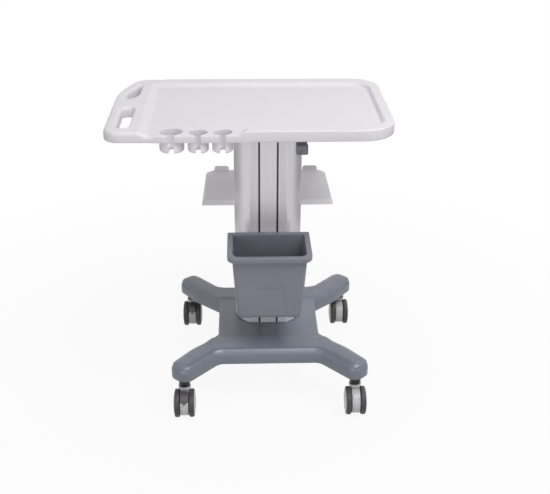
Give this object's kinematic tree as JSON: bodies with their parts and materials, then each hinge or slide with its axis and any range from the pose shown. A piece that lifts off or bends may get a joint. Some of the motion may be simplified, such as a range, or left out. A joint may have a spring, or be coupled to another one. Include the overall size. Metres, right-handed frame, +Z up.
{
  "type": "mobile ultrasound trolley",
  "caption": "Mobile trolley for an ultrasound unit: white tray top with slotted probe cups and hand holes on a lifting column, with bin, shelf and X-shaped base on twin-wheel casters.",
  "frame": {"origin": "on the floor under the middle of the trolley's bounding box", "axes": "+X to the right of someone who stands in front, +Y to the back, +Z up"},
  "size_m": [0.696, 0.5611, 0.776],
  "materials": {
    "table_plastic": "fine satin texture, moulded white",
    "cup_plastic": "satin moulded grey-white",
    "column_aluminium": "clear anodised, drawn along its length",
    "mast_aluminium": "clear anodised",
    "glide_plastic": "dark sliding plastic",
    "slate_plastic": "fine satin texture, slate grey",
    "bin_plastic": "satin moulded slate grey",
    "shelf_paint": "warm grey powder coat",
    "bracket_paint": "grey powder coat",
    "frame_paint": "dark powder coat",
    "bright_steel": "zinc plated",
    "spring_paint": "black gloss paint",
    "rod_chrome": "hard chrome",
    "pin_brass": "turned",
    "lever_plastic": "dark grey satin",
    "housing_plastic": "light grey, slightly glossy",
    "hub_plastic": "light grey, slightly glossy",
    "tyre_rubber": "non-marking dark grey",
    "pedal_plastic": "dark grey satin",
    "collar_plastic": "black"
  },
  "bodies": {
    "chassis": {"column": "column_aluminium", "column_collar": "glide_plastic", "gas_spring_cylinder": "spring_paint", "column_bolts": "bright_steel", "bin_bracket": "bracket_paint", "bin_bracket_bolts": "bright_steel", "shelf_tray": "shelf_paint", "shelf_bracket": "bracket_paint", "shelf_bolts": "bright_steel", "base_cover": "slate_plastic", "base_frame": "frame_paint", "base_underplate": "frame_paint", "base_screws": "bright_steel", "caster_stems": "bright_steel", "caster_collars": "collar_plastic"},
    "table": {"tabletop": "table_plastic", "table_underpan": "table_plastic", "table_mount_plate": "frame_paint", "table_screws": "bright_steel", "probe_cup_wide": "cup_plastic", "probe_cup_middle": "cup_plastic", "probe_cup_right": "cup_plastic", "inner_mast": "mast_aluminium", "mast_glide": "glide_plastic", "mast_crossbar": "bright_steel", "gas_spring_rod": "rod_chrome", "rod_nut": "bright_steel", "shaft_bushes": "glide_plastic"},
    "lever": {"release_shaft": "bright_steel", "release_finger": "bright_steel", "release_lever": "lever_plastic"},
    "valve": {"valve_pin": "pin_brass"},
    "bin": {"bin": "bin_plastic"},
    "front_left_caster": {"front_left_housing": "housing_plastic", "front_left_axle": "bright_steel"},
    "front_left_brake": {"front_left_pedal": "pedal_plastic"},
    "front_left_outer_wheel": {"front_left_outer_tyre": "tyre_rubber", "front_left_outer_hub": "hub_plastic"},
    "front_left_inner_wheel": {"front_left_inner_tyre": "tyre_rubber", "front_left_inner_hub": "hub_plastic"},
    "front_right_caster": {"front_right_housing": "housing_plastic", "front_right_axle": "bright_steel"},
    "front_right_outer_wheel": {"front_right_outer_tyre": "tyre_rubber", "front_right_outer_hub": "hub_plastic"},
    "front_right_inner_wheel": {"front_right_inner_tyre": "tyre_rubber", "front_right_inner_hub": "hub_plastic"},
    "rear_left_caster": {"rear_left_housing": "housing_plastic", "rear_left_axle": "bright_steel"},
    "rear_left_brake": {"rear_left_pedal": "pedal_plastic"},
    "rear_left_outer_wheel": {"rear_left_outer_tyre": "tyre_rubber", "rear_left_outer_hub": "hub_plastic"},
    "rear_left_inner_wheel": {"rear_left_inner_tyre": "tyre_rubber", "rear_left_inner_hub": "hub_plastic"},
    "rear_right_caster": {"rear_right_housing": "housing_plastic", "rear_right_axle": "bright_steel"},
    "rear_right_outer_wheel": {"rear_right_outer_tyre": "tyre_rubber", "rear_right_outer_hub": "hub_plastic"},
    "rear_right_inner_wheel": {"rear_right_inner_tyre": "tyre_rubber", "rear_right_inner_hub": "hub_plastic"}
  },
  "joints": [
    {"name": "table_lift", "type": "slide", "parent": "chassis", "child": "table", "axis": [0, 0, 1], "range_m": [0, 0.2]},
    {"name": "release_lever", "type": "hinge", "parent": "table", "child": "lever", "pos_m": [0.046, 0.01492, 0.726], "axis": [-1, 0, 0], "range_deg": [0, 8], "stiffness_Nm_per_rad": 1.5, "springref_deg": -8.59},
    {"name": "valve_press", "type": "slide", "parent": "table", "child": "valve", "axis": [0, 0, -1], "range_m": [0, 0.0045]},
    {"name": "bin_lift", "type": "slide", "parent": "chassis", "child": "bin", "axis": [0, 0, 1], "range_m": [0, 0.06]},
    {"name": "front_left_swivel", "type": "hinge", "parent": "chassis", "child": "front_left_caster", "pos_m": [-0.1795, -0.22258, 0.084], "axis": [0, 0, 1], "continuous": true},
    {"name": "front_left_brake", "type": "hinge", "parent": "front_left_caster", "child": "front_left_brake", "pos_m": [-0.1795, -0.24308, 0.0375], "axis": [1, 0, 0], "range_deg": [0, 14]},
    {"name": "front_left_outer_spin", "type": "hinge", "parent": "front_left_caster", "child": "front_left_outer_wheel", "pos_m": [-0.1795, -0.24308, 0.0375], "axis": [1, 0, 0], "continuous": true},
    {"name": "front_left_inner_spin", "type": "hinge", "parent": "front_left_caster", "child": "front_left_inner_wheel", "pos_m": [-0.1795, -0.24308, 0.0375], "axis": [1, 0, 0], "continuous": true},
    {"name": "front_right_swivel", "type": "hinge", "parent": "chassis", "child": "front_right_caster", "pos_m": [0.2715, -0.22258, 0.084], "axis": [0, 0, 1], "continuous": true},
    {"name": "front_right_outer_spin", "type": "hinge", "parent": "front_right_caster", "child": "front_right_outer_wheel", "pos_m": [0.2715, -0.24308, 0.0375], "axis": [1, 0, 0], "continuous": true},
    {"name": "front_right_inner_spin", "type": "hinge", "parent": "front_right_caster", "child": "front_right_inner_wheel", "pos_m": [0.2715, -0.24308, 0.0375], "axis": [1, 0, 0], "continuous": true},
    {"name": "rear_left_swivel", "type": "hinge", "parent": "chassis", "child": "rear_left_caster", "pos_m": [-0.1795, 0.24842, 0.084], "axis": [0, 0, 1], "continuous": true},
    {"name": "rear_left_brake", "type": "hinge", "parent": "rear_left_caster", "child": "rear_left_brake", "pos_m": [-0.1795, 0.22792, 0.0375], "axis": [1, 0, 0], "range_deg": [0, 14]},
    {"name": "rear_left_outer_spin", "type": "hinge", "parent": "rear_left_caster", "child": "rear_left_outer_wheel", "pos_m": [-0.1795, 0.22792, 0.0375], "axis": [1, 0, 0], "continuous": true},
    {"name": "rear_left_inner_spin", "type": "hinge", "parent": "rear_left_caster", "child": "rear_left_inner_wheel", "pos_m": [-0.1795, 0.22792, 0.0375], "axis": [1, 0, 0], "continuous": true},
    {"name": "rear_right_swivel", "type": "hinge", "parent": "chassis", "child": "rear_right_caster", "pos_m": [0.2715, 0.24842, 0.084], "axis": [0, 0, 1], "continuous": true},
    {"name": "rear_right_outer_spin", "type": "hinge", "parent": "rear_right_caster", "child": "rear_right_outer_wheel", "pos_m": [0.2715, 0.22792, 0.0375], "axis": [1, 0, 0], "continuous": true},
    {"name": "rear_right_inner_spin", "type": "hinge", "parent": "rear_right_caster", "child": "rear_right_inner_wheel", "pos_m": [0.2715, 0.22792, 0.0375], "axis": [1, 0, 0], "continuous": true}
  ],
  "couplings": [
    {"joint": "valve_press", "follows": "release_lever", "m_per_rad": 0.031}
  ]
}
